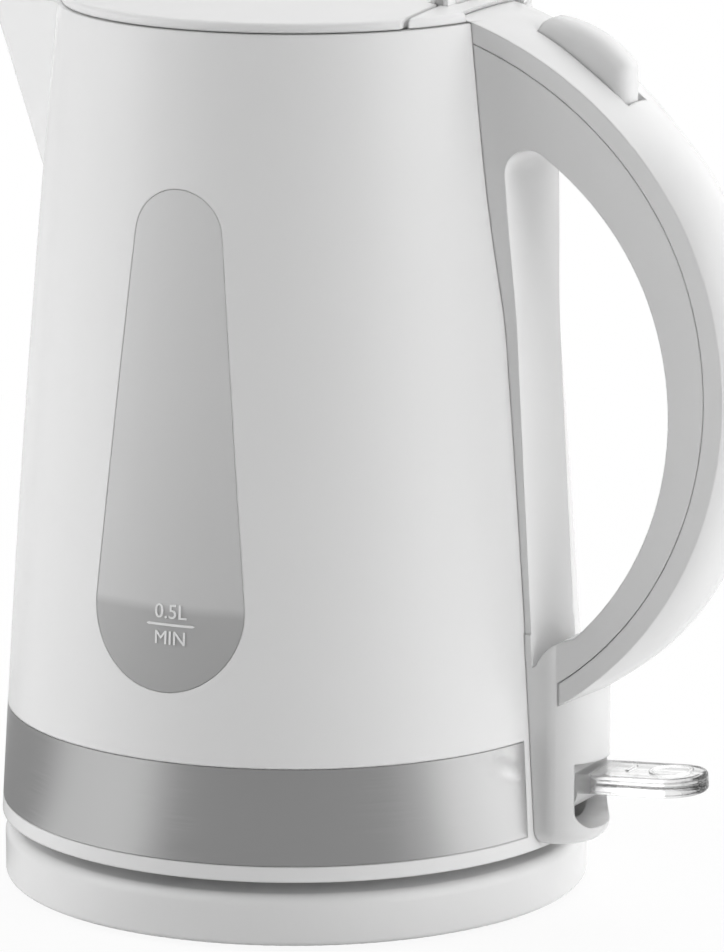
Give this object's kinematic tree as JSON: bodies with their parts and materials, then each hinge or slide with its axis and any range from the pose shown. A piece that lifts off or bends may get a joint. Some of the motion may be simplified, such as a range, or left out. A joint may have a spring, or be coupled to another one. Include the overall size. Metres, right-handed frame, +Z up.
{
  "type": "electric kettle",
  "caption": "Cordless electric kettle: tapered white jug with spout, gauge windows, looped handle, hinged lid and on/off lever, on a round swivel power base.",
  "frame": {"origin": "on the jug's axis, on the surface that the base's foot ring stands on", "axes": "+Z up, +X towards the handle, -X towards the spout, the gauge windows face -Y and +Y"},
  "size_m": [0.2189, 0.151, 0.234],
  "materials": {
    "white_gloss": "gloss moulded",
    "white_matt": "satin moulded",
    "gauge_clear": "clear, slightly smoked",
    "lever_clear": "clear",
    "band_steel": "polished, faintly brushed",
    "plate_steel": "satin",
    "fastener_steel": "plated",
    "element_metal": "bare",
    "contact_brass": "bare",
    "dark_plastic": "satin moulded",
    "dark_rubber": "matt"
  },
  "bodies": {
    "power_base": {"base_cover": "white_gloss", "base_bottom": "white_matt", "base_connector": "dark_plastic", "base_contacts": "contact_brass", "base_screws": "fastener_steel", "base_foot_ring": "dark_rubber", "cord_gland": "dark_rubber"},
    "coupler": {"jug_coupler": "dark_plastic", "coupler_contacts": "contact_brass"},
    "lid": {"lid_outer": "white_gloss", "lid_inner": "white_gloss"},
    "lid_release": {"lid_button": "white_gloss", "latch_arm": "white_matt"},
    "lever": {"switch_lever": "lever_clear"},
    "jug": {"jug_shell": "white_gloss", "handle_frame": "white_gloss", "handle_cover": "white_gloss", "hinge_deck": "white_gloss", "bottom_cover": "white_matt", "filter_frame": "white_matt", "steam_tube": "white_matt", "gauge_window_left": "gauge_clear", "gauge_window_right": "gauge_clear", "indicator_lamp": "lever_clear", "steel_band": "band_steel", "heater_plate": "plate_steel", "clamp_ring": "plate_steel", "steam_bimetal": "plate_steel", "control_bimetals": "plate_steel", "filter_net": "plate_steel", "bottom_screws": "fastener_steel", "clamp_screws": "fastener_steel", "handle_screws": "fastener_steel", "lever_pin": "fastener_steel", "lid_hinge_pin": "fastener_steel", "button_pin": "fastener_steel", "button_spring": "fastener_steel", "lid_spring": "fastener_steel", "heating_element": "element_metal", "control_body": "dark_plastic", "plate_seal": "dark_rubber"}
  },
  "joints": [
    {"name": "jug_lift", "type": "slide", "parent": "power_base", "child": "coupler", "axis": [0, 0, 1], "range_m": [0, 0.12]},
    {"name": "jug_swivel", "type": "hinge", "parent": "coupler", "child": "jug", "pos_m": [0, 0, 0.0179], "axis": [0, 0, 1], "continuous": true},
    {"name": "lid_hinge", "type": "hinge", "parent": "jug", "child": "lid", "pos_m": [0.048, 0, 0.23063], "axis": [0, 1, 0], "range_deg": [0, 85], "deforming": ["lid_spring"]},
    {"name": "button_press", "type": "hinge", "parent": "jug", "child": "lid_release", "pos_m": [0.0735, 0, 0.2137], "axis": [0, 1, 0], "range_deg": [0, 5], "stiffness_Nm_per_rad": 0.4, "deforming": ["button_spring"]},
    {"name": "lever_rock", "type": "hinge", "parent": "jug", "child": "lever", "pos_m": [0.0783, 0, 0.0336], "axis": [0, 1, 0], "range_deg": [0, 12]}
  ]
}
